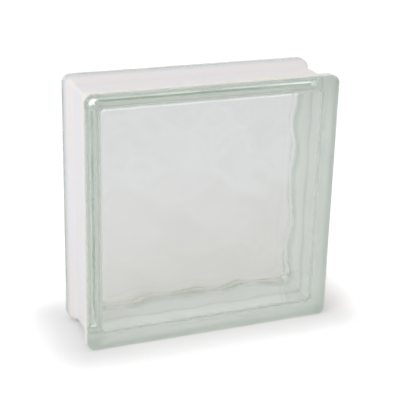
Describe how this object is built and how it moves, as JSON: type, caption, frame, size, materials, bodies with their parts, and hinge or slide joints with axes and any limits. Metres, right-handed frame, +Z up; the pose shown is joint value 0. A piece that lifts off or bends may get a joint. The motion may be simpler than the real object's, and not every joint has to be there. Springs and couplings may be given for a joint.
{
  "type": "glass block",
  "caption": "Hollow pressed-glass building block with clear wavy faces, rounded rims and white-coated edges that carry a mortar channel",
  "frame": {"origin": "bottom centre of the block as it stands on its edge", "axes": "+X along the width, +Y from the front face to the back face through the depth, +Z up"},
  "size_m": [0.24, 0.08, 0.24],
  "materials": {
    "clear_glass": "clear, faint green, fire-polished",
    "bonding_coat": "white, matt, sprayed"
  },
  "bodies": {
    "root": {"front_half": "clear_glass", "back_half": "clear_glass", "edge_coating": "bonding_coat"}
  },
  "joints": []
}
